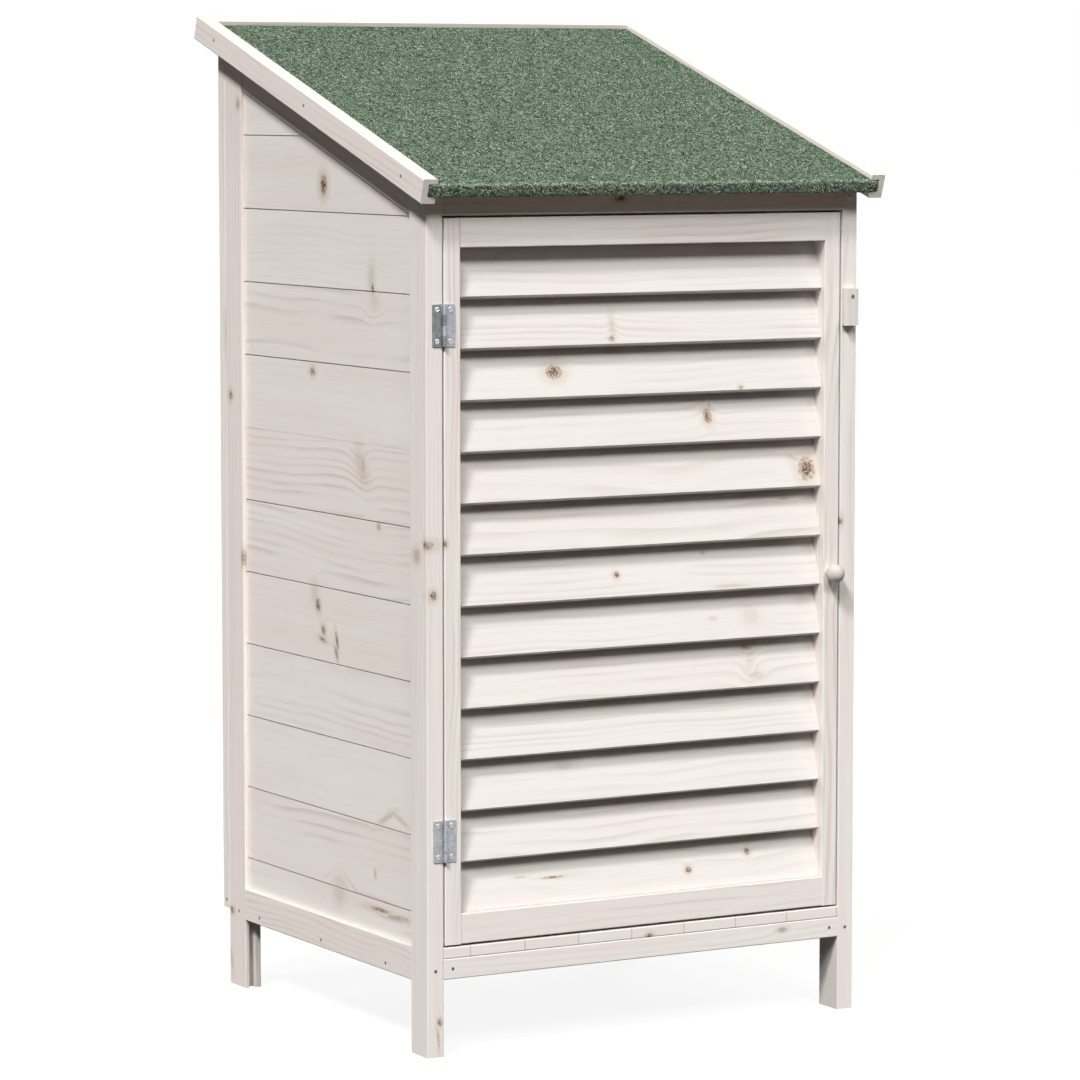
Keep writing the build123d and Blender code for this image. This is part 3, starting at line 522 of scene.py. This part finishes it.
def dress_woodwork():
    """Every wooden node gets stained pine of its own."""
    for seed, (node, (along, knots)) in enumerate(MEMBERS.items(), start=MEMBER_SEED):
        dress(node, stained_pine(node, along, seed, knots, rosy=ROSY_MEMBERS.get(node, 0.0)))
    for number in range(1, SLAT_COUNT + 1):
        node, seed, knots = f"door_slat_{number:02d}", SLAT_SEED + number - 1, SLAT_KNOTS.get(number, [])
        # The slats get the darker copies of the stains, painted shade
        dress(node, stained_pine(node, "x", seed, knots, stains=(SLAT_SHADED_STAIN, ROSY_SLAT_SHADED_STAIN)))
    for seed, (node, (along, knots)) in enumerate(BOARD_WALLS.items(), start=BOARD_SEED):
        dress(node, stained_pine(node, along, seed, knots, boards=True))
    dress("floor_panel", stained_pine("floor_panel", "x", FLOOR_SEED, FLOOR_KNOTS, blocks=FLOOR_BLOCKS))
    dress("door_knob", stained_pine("door_knob", "y", KNOB_SEED, stains=(KNOB_STAIN, KNOB_STAIN)))
    dress("turn_button", stained_pine("turn_button", "z", BUTTON_SEED, stains=(BUTTON_STAIN, BUTTON_STAIN)))


# New pieces


def piece(name, points, faces, finish, smooth=True):
    """A mesh at the origin from points in metres and faces as rows of point numbers."""
    mesh = bpy.data.meshes.new(name)
    mesh.from_pydata(points, [], faces)
    mesh.polygons.foreach_set("use_smooth", np.full(len(mesh.polygons), smooth))
    mesh.update()
    mesh.materials.append(finish.material)
    made = bpy.data.objects.new(name, mesh)
    bpy.context.scene.collection.objects.link(made)
    return made


def pan_head_screw(cross):
    """Screw along y with its head at -y, turned by the angle of its cross. The head is a dome, pressed in
    where a point lies near either arm of the cross, and stands on a plain shank. Rows of points run from the
    middle of the head to the tip."""
    turn = np.linspace(0, 2 * math.pi, SCREW_SIDES, endpoint=False)
    rings = np.arange(SCREW_RING_STEP, SCREW_HEAD_RADIUS, SCREW_RING_STEP)
    radius = np.concatenate([[SCREW_MIDDLE], rings, [SCREW_HEAD_RADIUS]])
    height = SCREW_HEAD_HEIGHT * (1 - SCREW_HEAD_DROP * (radius / SCREW_HEAD_RADIUS) ** 3)
    across, along = np.abs(np.cos(turn)), np.abs(np.sin(turn))
    near = np.minimum(across, along)[None, :] * radius[:, None]
    beside = np.clip((CROSS_HALF_WIDTH - near) / CROSS_WALL, 0, 1)
    dome = height[:, None] - CROSS_DEPTH * beside * np.clip((CROSS_REACH - radius) / CROSS_END, 0, 1)[:, None]
    radius = np.concatenate([radius, [SCREW_HEAD_RADIUS, SCREW_RADIUS, SCREW_RADIUS, SCREW_MIDDLE]])
    flat = np.array([0.0, 0.0, -SCREW_DEPTH, -SCREW_DEPTH])[:, None]
    out = np.concatenate([dome, np.broadcast_to(flat, (4, SCREW_SIDES))])
    x = radius[:, None] * np.cos(turn + cross)
    z = radius[:, None] * np.sin(turn + cross)
    return np.stack([x, -out, z], axis=-1)


def drive_screws(node, body, finish):
    """The four screws of a node, in place of its plain ones, each cross turned on from the last."""
    low, high = [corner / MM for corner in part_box(node)]
    lowest, highest = low.z + SCREW_HEAD_RADIUS, high.z - SCREW_HEAD_RADIUS
    heights = (lowest, lowest + SCREW_SPACING, highest - SCREW_SPACING, highest)
    points, faces = [], []
    for count, z in enumerate(heights):
        rows = pan_head_screw(CROSS_ANGLE + CROSS_TURN * count)
        points.append(rows.reshape(-1, 3) + [(low.x + high.x) / 2, low.y + SCREW_HEAD_HEIGHT, z])
        number = np.arange(rows.shape[0] * SCREW_SIDES).reshape(-1, SCREW_SIDES) + count * rows[..., 0].size
        ahead = np.roll(number, -1, axis=1)
        quads = np.stack([number[:-1], number[1:], ahead[1:], ahead[:-1]], axis=-1)
        faces += quads.reshape(-1, 4).tolist() + [number[0].tolist(), number[-1, ::-1].tolist()]
    screws = piece(node.replace("screws", "pan_head_screws"), np.concatenate(points) * MM, faces, finish)
    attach(screws, body)
    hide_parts(node)


# Metal and plywood


def zinc_plate(name, dark, light):
    """Zinc plate: blue-grey spangle, with fine drawn lines up the leaf."""
    finish = Finish(name)
    x, y, z = finish.place()
    spangle = finish.cloud(x / 3.0, y / 3.0, z / 3.0, 3.0)
    drawn = finish.cloud(x / 0.35, y / 0.35, z / 9.0, 2.0)
    colour = finish.mix(spangle.ease(0.3, 0.7), dark, light)
    finish.surface(Base_Color=colour, Metallic=0.7, Roughness=drawn.ease(0.3, 0.7, 0.38, 0.52))
    finish.bump(drawn, 0.12, 0.05 * MM)
    return finish


def bright_steel():
    """Zinc-plated screws and pins."""
    finish = Finish("bright_steel")
    x, y, z = finish.place()
    worn = finish.cloud(x / 1.2, y / 1.2, z / 1.2, 2.0)
    colour = finish.mix(worn.ease(0.35, 0.7), ink(190, 194, 198), ink(160, 164, 169))
    finish.surface(Base_Color=colour, Metallic=0.9, Roughness=worn.ease(0.3, 0.7, 0.26, 0.4))
    return finish


def nail_steel():
    """Dull dark nail heads."""
    finish = Finish("nail_steel")
    x, y, z = finish.place()
    dull = finish.cloud(x / 0.8, y / 0.8, z / 0.8, 2.0)
    colour = finish.mix(dull.ease(0.3, 0.7), ink(74, 66, 62), ink(126, 119, 114))
    finish.surface(Base_Color=colour, Metallic=0.4, Roughness=0.55)
    return finish


def plywood():
    """Roof deck: pale veneer with long grain on its faces, and plies that show along its edges."""
    finish = Finish("plywood")
    x, s, n = finish.place(-ROOF_PITCH)
    figure = finish.cloud(x / 240.0, s / 16.0, n / 4.0, 4.0)
    fibre = finish.cloud(x / 30.0, s / 0.9, n / 0.9, 2.0)
    ply = (n / 2.0).math("FRACT").ease(0.42, 0.58)
    colour = finish.mix(figure.ease(0.3, 0.7), ink(222, 200, 168), ink(204, 176, 138))
    colour = finish.mix(fibre.ease(0.45, 0.8, 0.0, 0.4), colour, ink(180, 148, 110))
    colour = finish.mix(ply * 0.25, colour, ink(164, 132, 96))
    finish.surface(Base_Color=colour, Roughness=0.7, Specular_IOR_Level=0.25)
    finish.bump(fibre, 0.2, 0.15 * MM)
    return finish


def dress_metal():
    """Zinc on the hinges, with a darker copy of it on the upper hinge's post leaf as painted shade, bright or
    dull steel on screws, pins and nails, and plywood on the roof deck.
    """
    zinc = zinc_plate("zinc_plate", ink(152, 156, 161), ink(178, 182, 187))
    shaded_zinc = zinc_plate("shaded_zinc_plate", ink(114, 117, 120), ink(136, 139, 143))
    bright, dull = bright_steel(), nail_steel()
    for leaf in ("upper_hinge_door_leaf", "lower_hinge_post_leaf", "lower_hinge_door_leaf"):
        dress(leaf, zinc)
    # A darker copy of the zinc, painted shade on the upper hinge's post leaf
    dress("upper_hinge_post_leaf", shaded_zinc)
    for node in ("upper_hinge_pin", "lower_hinge_pin", "knob_screw"):
        dress(node, bright)
    dress("turn_button_screw", dull)
    for node, body in (("hinge_post_screws", "shed"), ("hinge_door_screws", "door")):
        drive_screws(node, body, bright)
    for node in ("roof_nails", "side_nails", "front_nails", "back_nails"):
        dress(node, dull)
    dress("roof_deck", plywood())


# Roofing felt


def from_roof(x, u, n):
    """Points in metres from the roof's own axes in millimetres."""
    cos, sin = math.cos(ROOF_PITCH), math.sin(ROOF_PITCH)
    return np.stack([x, FRONT + u * cos - n * sin, EAVES + u * sin + n * cos], axis=-1) * MM


def green_granules(name, dark, middle, light):
    """Mineral granules: three greens by the tone that each granule carries."""
    finish = Finish(name)
    tone = Field(finish.add("Attribute", attribute_name="tone").outputs["Fac"])
    colour = finish.mix(tone.ease(0.0, 0.55), dark, middle)
    colour = finish.mix(tone.ease(0.55, 1.0), colour, light)
    finish.surface(Base_Color=colour, Roughness=0.85, Specular_IOR_Level=0.2)
    return finish


def smooth_noise(draw, shape, passes):
    """Random heights, each pass averaging every point with its neighbours, scaled to a spread of 1."""
    heights = draw.standard_normal(shape)
    for _ in range(passes):
        heights = heights * 2 + sum(np.roll(heights, step, axis) for step in (-1, 1) for axis in (0, 1))
    return heights / heights.std()


def carry_tone(made, tone):
    """Stores a tone between 0 and 1 on each point of a piece."""
    values = np.clip(tone, 0, 1).ravel().astype(np.float32)
    made.data.attributes.new("tone", "FLOAT", "POINT").data.foreach_set("value", values)


def felt_profile(step):
    """Line of the felt's outer face in (u, n): down the roof, round the nose and under its lip."""
    top = np.arange(FELT_BACK_U, FELT_NOSE_U + NOSE_ROUND, -step)
    turn = np.linspace(0, math.pi / 2, 5)
    upper_u = FELT_NOSE_U + NOSE_ROUND - NOSE_ROUND * np.sin(turn)
    upper_n = FELT_TOP - NOSE_ROUND + NOSE_ROUND * np.cos(turn)
    face = np.linspace(FELT_TOP - NOSE_ROUND, NOSE_ROUND, 6)[1:-1]
    u = np.concatenate([top, upper_u, np.full(len(face), FELT_NOSE_U), upper_u[::-1], [DECK_FRONT_U]])
    lower_n = NOSE_ROUND - NOSE_ROUND * np.cos(turn[::-1])
    n = np.concatenate([np.full(len(top), FELT_TOP), upper_n, face, lower_n, [0.0]])
    return u, n


def felt_sheet(finish):
    """Felt on the deck: its outer line carried across the roof and pushed out by smooth noise, which dies out
    where the trims hold it. The deck side is flat, and the nose narrows in a round to its two closed ends."""
    draw = np.random.default_rng(FELT_SEED)
    u, n = felt_profile(FELT_STEP)
    x = np.linspace(-FELT_HALF, FELT_HALF, round(2 * FELT_HALF / FELT_STEP))
    tangent = np.stack([np.gradient(u), np.gradient(n)])
    tangent = tangent / np.hypot(*tangent)
    shown = np.clip((FELT_SHOWN_HALF - np.abs(x)) / FELT_TRIM_EASE, 0, 1)[None, :]
    shown = shown * np.clip((FELT_SHOWN_BACK - u) / FELT_TRIM_EASE, 0, 1)[:, None]
    swell = FELT_SWELL * shown * smooth_noise(draw, shown.shape, 1)
    swell[-1] = 0
    rows_u = np.concatenate([u[:, None] + tangent[1][:, None] * swell, np.full((2, len(x)), DECK_FRONT_U)])
    rows_n = np.concatenate([n[:, None] - tangent[0][:, None] * swell, np.full((2, len(x)), FELT_UNDERSIDE)])
    rows_u[-1] = FELT_BACK_U
    end = np.clip((np.abs(x) - FELT_HALF + NOSE_END) / NOSE_END, 0, 1)
    pinch = NOSE_PINCH * (1 - np.sqrt(1 - end ** 2))
    nose = np.clip((DECK_FRONT_U - rows_u) / NOSE_ROUND, 0, 1)
    rows_n = rows_n + nose * pinch * (FELT_TOP / 2 - rows_n)
    points = from_roof(np.broadcast_to(x, rows_u.shape), rows_u, rows_n)
    rows, columns = rows_u.shape
    number = np.arange(rows * columns).reshape(rows, columns)
    below = np.roll(number, -1, axis=0)
    quads = np.stack([number[:, :-1], below[:, :-1], below[:, 1:], number[:, 1:]], axis=-1).reshape(-1, 4)
    faces = quads.tolist() + [number[::-1, 0].tolist(), number[:, -1].tolist()]
    sheet = piece("felt_sheet", points.reshape(-1, 3), faces, finish)
    carry_tone(sheet, 0.26 + 0.2 * smooth_noise(draw, rows_u.shape, 0))
    return sheet


def felt_chips(name, seed, finish):
    """Granules on the felt: slivers of four faces, each a pair of crossed edges. They lie at random on the
    felt's outer line, some more of them near its lip, and stand up round its nose. Lengths, leans and greens
    vary."""
    draw = np.random.default_rng(seed)
    count = GRANULE_COUNT
    u, n = felt_profile(GRANULE_LINE_STEP)
    shown = u < FELT_SHOWN_BACK
    u, n = u[shown], n[shown]
    walked = np.concatenate([[0], np.cumsum(np.hypot(np.diff(u), np.diff(n)))])
    lip = walked[-1] - LIP_MARGIN
    reach = draw.uniform(0, lip, count)
    at_lip = draw.random(count) < LIP_SHARE
    reach = np.where(at_lip, draw.uniform(walked[-1] - LIP_BAND, lip, count), reach)
    here_u, here_n = np.interp(reach, walked, u), np.interp(reach, walked, n)
    ahead_u, ahead_n = np.interp(reach + 0.8, walked, u), np.interp(reach + 0.8, walked, n)
    down = np.stack([np.zeros(count), ahead_u - here_u, ahead_n - here_n], axis=-1)
    down /= np.linalg.norm(down, axis=1, keepdims=True)
    aside = np.broadcast_to([1.0, 0.0, 0.0], down.shape)
    out = np.stack([down[:, 0], down[:, 2], -down[:, 1]], axis=-1)
    at_nose = np.clip((FELT_NOSE_U + NOSE_BAND - here_u) / NOSE_EASE, 0, 1)[:, None]
    bearing = draw.uniform(0, 2 * math.pi, count)[:, None]
    lift = draw.normal(*GRANULE_LIFT, count)[:, None] + at_nose * 0.5
    length = draw.uniform(*GRANULE_LENGTH, count)[:, None]
    width = draw.uniform(*GRANULE_WIDTH, count)[:, None]
    height = draw.uniform(*GRANULE_HEIGHT, count)[:, None]
    forward = np.cos(bearing) * down + np.sin(bearing) * aside + lift * out
    sideways = np.cos(bearing) * aside - np.sin(bearing) * down
    half = np.where(here_u < FELT_NOSE_U + 1, FELT_HALF - 4, FELT_SHOWN_HALF)
    place = np.stack([draw.uniform(-1, 1, count) * half, here_u, here_n], axis=-1)
    place = place + out * (draw.uniform(*GRANULE_STAND, count)[:, None] - at_nose * 0.5)
    corners = np.stack(
        [
            place - forward * length / 2,
            place + forward * length / 2,
            place + out * height - sideways * width / 2,
            place + out * height * 0.7 + sideways * width / 2,
        ],
        axis=1,
    ).reshape(-1, 3)
    points = from_roof(corners[:, 0], corners[:, 1], corners[:, 2])
    sliver = np.array([[0, 1, 2], [1, 0, 3], [2, 3, 0], [3, 2, 1]])
    faces = (np.arange(count)[:, None, None] * 4 + sliver).reshape(-1, 3)
    chips = piece(name, points, faces.tolist(), finish, smooth=False)
    # Granules round the nose are painted paler, more towards its top: a painted highlight along the felt's
    # front edge
    tone = draw.normal(*GRANULE_TONE, count) + at_nose[:, 0] * (0.6 * here_n / FELT_TOP + 0.06)
    carry_tone(chips, np.repeat(tone, 4))
    return chips


def lay_felt():
    """The felt's sheet in place of the plain one, and two layers of granules on it."""
    greens = (ink(49, 64, 52), ink(106, 126, 104), ink(190, 200, 181))
    finish = green_granules("green_granules", *greens)
    sheet = felt_sheet(finish)
    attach(sheet, "shed")
    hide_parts("roof_felt")
    for number, seed in enumerate(GRANULE_SEEDS, start=1):
        chips = felt_chips(f"felt_granules_{number}", seed, finish)
        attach(chips, "shed")


# Stage


def white_to_camera(tree):
    """1 for rays that look at the background straight, in a gloss or through glass, and 0 for its light."""
    path = tree.nodes.new("ShaderNodeLightPath")
    return highest([Field(path.outputs[f"Is {word} Ray"]) for word in ("Camera", "Glossy", "Transmission")])


FLOOR_HALF = 40.0
FLOOR_GLOW = 0.90
FLOOR_SEEN = 0.12
FLOOR_BOUNCE = 0.04
SKY_LIGHT = (0.090, 0.069, 0.060)


def pale_floor():
    """Plain floor that reads white and keeps a soft shadow. It throws little light back on the shed."""
    corners = np.array([[-1, -1, 0], [1, -1, 0], [1, 1, 0], [-1, 1, 0]]) * FLOOR_HALF
    finish = Finish("pale_floor")
    tree = finish.tree
    tree.nodes.remove(finish.shader)
    seen = white_to_camera(tree)
    grey = finish.add("CombineColor")
    for entry in grey.inputs:
        feed(entry, seen.ease(0.0, 1.0, FLOOR_BOUNCE, FLOOR_SEEN))
    matt = finish.add("BsdfDiffuse", {"Color": grey.outputs[0]})
    glow = finish.add("Emission", {"Color": (1, 1, 1, 1), "Strength": seen * FLOOR_GLOW})
    both = finish.add("AddShader")
    feed(both.inputs[0], matt.outputs[0])
    feed(both.inputs[1], glow.outputs[0])
    feed(tree.nodes["Material Output"].inputs["Surface"], both.outputs[0])
    floor = piece("floor", corners, [[0, 1, 2, 3]], finish, smooth=False)


def white_surroundings():
    """White behind the shed, with a weak warm light from all sides on it."""
    world = bpy.data.worlds.new("surroundings")
    world.use_nodes = True
    tree = world.node_tree
    seen = white_to_camera(tree)
    sky = tree.nodes.new("ShaderNodeCombineColor")
    for entry, light in zip(sky.inputs, SKY_LIGHT):
        feed(entry, seen.ease(0.0, 1.0, light, 1.0))
    background = tree.nodes["Background"]
    feed(background.inputs["Color"], sky.outputs[0])
    feed(background.inputs["Strength"], 1.0)
    bpy.context.scene.world = world


# Soft lamps: degrees round to the left from the front, degrees up, strength, and the lamp's width in degrees
Lamp = namedtuple("Lamp", "left up strength width")
LAMPS = {
    "high_at_the_left": Lamp(55.0, 50.3, 0.74, 9.0),
    "left_middle": Lamp(43.0, 42.8, 0.28, 9.0),
    "left_side": Lamp(96.0, 60.0, 0.26, 9.0),
    "low_in_front": Lamp(8.0, 42.5, 0.335, 14.0),
    "at_the_right": Lamp(-33.0, 37.0, 0.21, 12.0),
    "behind_at_the_right": Lamp(-140.0, 20.0, 0.70, 20.0),
}


def hang_lamps():
    """Suns: each lights a white face square to it with its strength."""
    for name, lamp in LAMPS.items():
        left, up = math.radians(lamp.left), math.radians(lamp.up)
        towards = Vector((-math.sin(left) * math.cos(up), -math.cos(left) * math.cos(up), math.sin(up)))
        sun = bpy.data.lights.new(name, "SUN")
        sun.energy = math.pi * lamp.strength
        sun.angle = math.radians(lamp.width)
        hung = bpy.data.objects.new(name, sun)
        hung.rotation_euler = towards.to_track_quat("Z", "Y").to_euler()
        bpy.context.scene.collection.objects.link(hung)


def stand_camera():
    """Camera of the photograph: at the front left, looking along its yaw and tilted down."""
    lens = bpy.data.cameras.new("camera")
    lens.sensor_width = SENSOR_WIDTH
    lens.lens = CAMERA_LENS
    camera = bpy.data.objects.new("camera", lens)
    camera.location = CAMERA_PLACE
    camera.rotation_euler = (math.pi / 2 - CAMERA_TILT, 0, -CAMERA_YAW)
    bpy.context.scene.collection.objects.link(camera)
    bpy.context.scene.camera = camera


dress_woodwork()
dress_metal()
lay_felt()
pale_floor()
white_surroundings()
hang_lamps()
stand_camera()

bpy.context.scene.view_settings.view_transform = "Standard"
